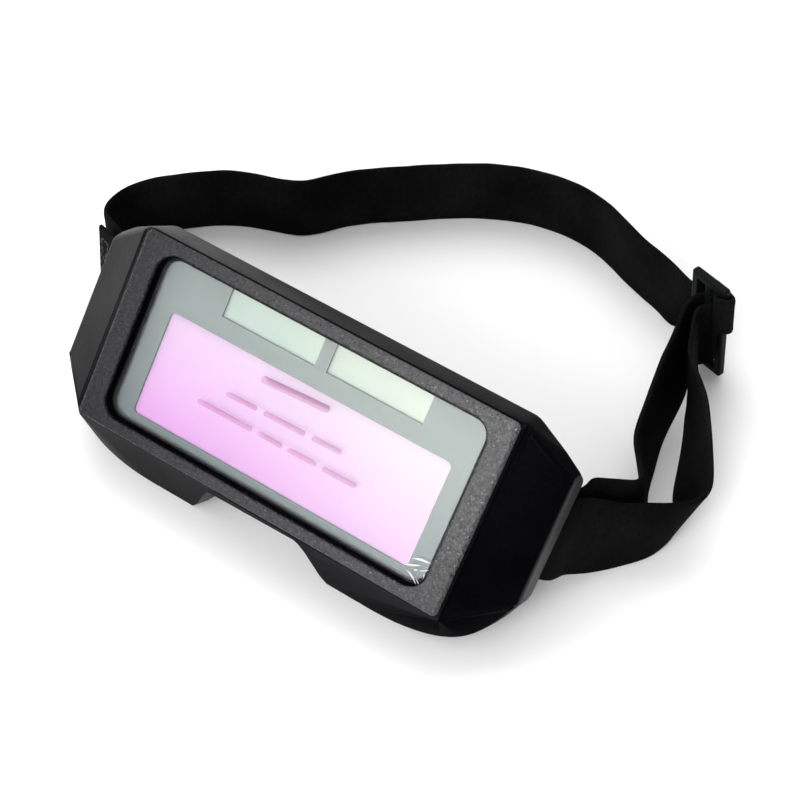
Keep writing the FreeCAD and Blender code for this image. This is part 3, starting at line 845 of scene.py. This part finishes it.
# A box of stitches with a cross in it, 9 mm to each side, where the left end is sewn down
BOX_START, BOX_END, BOX_HALF = loop_path.length - 9.5, loop_path.length - 2.2, 9.0
SEWN = [
    (BOX_START, -BOX_HALF, BOX_START, BOX_HALF),
    (BOX_END, -BOX_HALF, BOX_END, BOX_HALF),
    (BOX_START, -BOX_HALF, BOX_END, -BOX_HALF),
    (BOX_START, BOX_HALF, BOX_END, BOX_HALF),
    (BOX_START, -BOX_HALF, BOX_END, BOX_HALF),
    (BOX_START, BOX_HALF, BOX_END, -BOX_HALF),
]
add_object("strap_loop_stitching", stitches("strap_loop_stitching", loop_path, SEWN), THREAD,
           "goggles")
add_object("strap_bar_loop_woven",
           strap_mesh("strap_bar_loop_woven", bar_path, seed=8, thick=1.2, width=LOOP_W),
           ELASTIC, "buckle")

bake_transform(inner)
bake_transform(outer)
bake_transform(band)

# ---------------------------------------------------------------- housing, front frame, buckle
housing = add_object("housing_shell", housing_mesh(), HOUSING, "goggles")
weighted(housing)
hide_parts("housing")
bezel = add_object("front_frame_moulded", front_frame_mesh(), BEZEL, "bezel")
weighted(bezel)
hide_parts("front_frame")
buckle = add_object("slide_buckle_moulded", buckle_mesh(), BUCKLE, "buckle")
weighted(buckle)
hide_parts("slide_buckle")

# ---------------------------------------------------------------- lens border, film and its print
FILM = (105.4, 48.4, 5.2)               # film's width, height and corner radius
FILM_DEPTH = 3.22                       # from the front plane
CREASE_AT = (50.5, -15.5)               # middle of the creased corner
CREASE_ROOT = (54.0, -19.0)             # the creases fan out from here


def film_mesh():
    """Peel-off film: slow waves, and creases that fan out from its lower right corner."""
    wide, tall, radius = FILM
    columns, rows = 176, 82
    points, faces = [], []
    for j in range(rows + 1):
        for i in range(columns + 1):
            x, z = -wide / 2 + wide * i / columns, CENTRE_Z - tall / 2 + tall * j / rows
            over_x, over_z = abs(x) - (wide / 2 - radius), abs(z - CENTRE_Z) - (tall / 2 - radius)
            reach = math.hypot(over_x, over_z)
            if over_x > 0 and over_z > 0 and reach > radius:
                x = math.copysign(wide / 2 - radius + over_x * radius / reach, x)
                z = CENTRE_Z + math.copysign(tall / 2 - radius + over_z * radius / reach, z - CENTRE_Z)
            waves = 0.02 * math.sin(x * 0.31 + z * 0.12) + 0.02 * math.sin(z * 0.37 - x * 0.11)
            far = math.hypot(x - CREASE_AT[0], z - CREASE_AT[1])
            fan = math.atan2(z - CREASE_ROOT[1], x - CREASE_ROOT[0])
            creased = 0.32 * math.exp(-(far / 4.2) ** 2) * (0.5 + 0.5 * math.sin(fan * 26.0))
            points.append(upright(x, FILM_DEPTH - max(0.0, waves + creased), z))
    row = columns + 1
    for j in range(rows):
        for i in range(columns):
            a = j * row + i
            faces.append((a, a + 1, a + row + 1, a + row))
    return mesh_of("film_sheet", points, faces, 60)


def streak_mesh(name, lines, front, thick):
    """Low rounded ridges along lines in the window. Each line is (points, widest width)."""
    steps_each, profile = 10, (-1.0, -0.5, 0.0, 0.5, 1.0)
    points, faces = [], []
    for line, wide in lines:
        base = len(points)
        steps = steps_each * (len(line) - 1)
        for s in range(steps + 1):
            k = min(s // steps_each, len(line) - 2)
            share = s / steps_each - k
            (x0, z0), (x1, z1) = line[k], line[k + 1]
            x, z = x0 + (x1 - x0) * share, z0 + (z1 - z0) * share
            size = math.hypot(x1 - x0, z1 - z0)
            half = max(0.04, wide / 2 * math.sin(math.pi * (0.06 + 0.88 * s / steps)))
            for across in profile:
                points.append(upright(x - (z1 - z0) / size * half * across, front - thick * (1 - across ** 2),
                                      z + (x1 - x0) / size * half * across))
        for s in range(steps):
            for k in range(len(profile) - 1):
                a = base + s * len(profile) + k
                faces.append((a, a + 1, a + len(profile) + 1, a + len(profile)))
    return mesh_of(name, points, faces, 60)


def bar_mesh(name, bars, front, thick):
    """Thin rounded bars. Each is (left x, right x, left z, right z, height)."""
    points, faces = [], []
    for left, right, z_left, z_right, tall in bars:
        base, radius, outline = len(points), tall * 0.45, []
        for quarter, (sx, sz) in enumerate(CORNERS):
            for i in range(5):
                turn = math.radians(90 * quarter + 22.5 * i)
                x = (right if sx > 0 else left) - sx * radius + radius * math.cos(turn)
                z = z_left + (z_right - z_left) * (x - left) / (right - left)
                outline.append((x, z + sz * (tall / 2 - radius) + radius * math.sin(turn)))
        for depth in (front, front + thick):
            points += [upright(x, depth, z) for x, z in outline]
        count = len(outline)
        faces.append(tuple(base + k for k in range(count)))
        faces.append(tuple(base + count + k for k in reversed(range(count))))
        for k in range(count):
            n = (k + 1) % count
            faces.append((base + k, base + n, base + count + n, base + count + k))
    return mesh_of(name, points, faces, 40)


BORDER_OUTSIDE, BORDER_INSIDE = (108.2, 51.2, 1.0), (103.8, 47.4, 4.6)
add_object("lens_border", ring_plate("lens_border", BORDER_OUTSIDE, BORDER_INSIDE, 3.35, 3.44), RIM,
           "cover")
film = add_object("film_sheet", film_mesh(), SHEET, "film")
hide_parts("protective_film")

# Middle lines of the creases, which carry painted glints, as x and z in the window, and each crease's width
CREASES = [
    ([(47.1, -11.8), (49.6, -11.0), (52.2, -10.7)], 0.62),
    ([(45.2, -14.6), (47.9, -13.5), (49.9, -12.5)], 0.50),
    ([(48.5, -14.5), (49.6, -14.0)], 0.45),
    ([(50.1, -14.1), (52.4, -12.6)], 0.30),
    ([(46.8, -15.5), (48.1, -15.9), (49.3, -16.6), (50.7, -17.7)], 0.52),
    ([(50.2, -16.4), (51.5, -17.4)], 0.36),
    ([(51.7, -13.8), (51.9, -15.5)], 0.28),
]
add_object("film_crease_glints", streak_mesh("film_crease_glints", CREASES, 2.96, 0.10), CREASE_GLINT, "film")

# Plain bars in place of the film's printed words
PRINT_BARS = [
    (-12.9, 9.0, 11.4, 12.7, 2.2),
    (-20.9, -10.6, 2.9, 3.15, 1.5), (-8.4, 5.2, 3.2, 3.55, 1.5), (7.4, 16.9, 3.6, 3.85, 1.5),
    (-28.0, -9.6, -2.9, -2.7, 1.5), (-7.8, 0.4, -2.65, -2.6, 1.5), (2.2, 11.6, -2.55, -2.45, 1.5),
    (13.4, 24.5, -2.45, -2.3, 1.5),
]
add_object("film_print_bars", bar_mesh("film_print_bars", PRINT_BARS, 3.12, 0.03), PRINT,
           "film")

# Looks of the pieces that keep their CAD shape
NODE_LOOKS = {
    "front_cover_lens": LENS,
    "cartridge_front_frame": GREY,
    "cartridge_rear_frame": TRAY,
    "uv_ir_filter": PINK,
    "polarizer_front": POLAR,
    "lc_cell_front": CRYSTAL,
    "polarizer_middle": POLAR,
    "lc_cell_rear": CRYSTAL,
    "polarizer_rear": POLAR,
    "solar_cell_left": SOLAR,
    "solar_cell_right": SOLAR,
    "circuit_board": BOARD,
    "board_components": CHIP,
    "contact_pins": PIN,
    "inner_cover_lens": LENS,
}
for name, look in NODE_LOOKS.items():
    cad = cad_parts[name]
    for cad_slot in cad.material_slots:
        cad_slot.link = "OBJECT"
        cad_slot.material = look


# ---------------------------------------------------------------- floor, light, camera
def make_floor():
    """Plain pale floor, wide enough to reach past the picture."""
    material, tree, shader = new_material("floor_white")
    colour = blend_colour(tree, noise(tree, place_of(tree), 3, 2), (0.93, 0.93, 0.93), (0.95, 0.95, 0.95))
    tree.links.new(colour, shader.inputs["Base Color"])
    shader.inputs["Roughness"].default_value = 0.9
    shader.inputs["Specular IOR Level"].default_value = 0.1
    mesh = bpy.data.meshes.new("floor")
    size = 4.0
    mesh.from_pydata([(size * sx, size * sy, 0) for sx, sy in CORNERS], [], [(0, 1, 2, 3)])
    mesh.materials.append(material)
    floor = bpy.data.objects.new("floor", mesh)
    bpy.context.scene.collection.objects.link(floor)


def make_light(name, energy, at, size, towards=(0, 0, 0.03)):
    """Soft rectangular light turned towards a point."""
    data = bpy.data.lights.new(name, "AREA")
    data.energy = energy
    data.shape = "RECTANGLE"
    data.size, data.size_y = size
    lamp = bpy.data.objects.new(name, data)
    bpy.context.scene.collection.objects.link(lamp)
    lamp.location = at
    lamp.rotation_mode = "QUATERNION"
    lamp.rotation_quaternion = (Vector(towards) - Vector(at)).to_track_quat("-Z", "Y")


def world_lobe(tree, direction, wide, narrow, outside, inside):
    """Level that changes smoothly from outside to inside a cone of directions, in degrees."""
    coords = node(tree, "ShaderNodeTexCoord").outputs["Generated"]
    aim = Vector(direction).normalized()
    facing = node(tree, "ShaderNodeVectorMath", {0: coords, 1: aim}, operation="DOT_PRODUCT").outputs["Value"]
    return node(tree, "ShaderNodeMapRange", {
        "Value": facing, "From Min": math.cos(math.radians(wide)), "From Max": math.cos(math.radians(narrow)),
        "To Min": outside, "To Max": inside}, interpolation_type="SMOOTHSTEP").outputs[0]


def make_world():
    """Soft light all round, a bright panel in front, a lighter left and a dark side to the front right."""
    world = bpy.data.worlds.new("studio")
    bpy.context.scene.world = world
    world.use_nodes = True
    tree = world.node_tree
    dark = world_lobe(tree, (0.88, -0.42, 0.12), 70, 34, 0.95, 0.02)
    panel = world_lobe(tree, (0.0, -0.85, 0.52), 25, 9, 0.0, 7.0)
    left = world_lobe(tree, (-0.95, -0.15, 0.25), 45, 15, 0.0, 1.0)
    total = math_of(tree, "ADD", dark, math_of(tree, "ADD", panel, left))
    background = tree.nodes["Background"]
    tree.links.new(total, background.inputs["Strength"])
    background.inputs["Color"].default_value = (1, 1, 1, 1)


def make_camera():
    """Camera above the front right of the goggles."""
    eye = Vector((0.18659, -0.28597, 0.4557))
    look = Vector((-0.3234, 0.4925, -0.8080)).normalized()
    picture_up = Vector((-0.4480, 0.6724, 0.5892))
    right = look.cross(picture_up).normalized()
    up = right.cross(look)
    data = bpy.data.cameras.new("camera")
    data.sensor_width = 36.0
    data.lens = 85.5
    camera = bpy.data.objects.new("camera", data)
    bpy.context.scene.collection.objects.link(camera)
    camera.matrix_world = Matrix((
        (right.x, up.x, -look.x, eye.x),
        (right.y, up.y, -look.y, eye.y),
        (right.z, up.z, -look.z, eye.z),
        (0, 0, 0, 1)))
    bpy.context.scene.camera = camera


make_floor()
make_world()
make_light("overhead_soft", 4.0, (-0.25, 0.35, 0.90), (0.8, 0.6))
make_camera()
bpy.context.scene.view_settings.view_transform = "Standard"
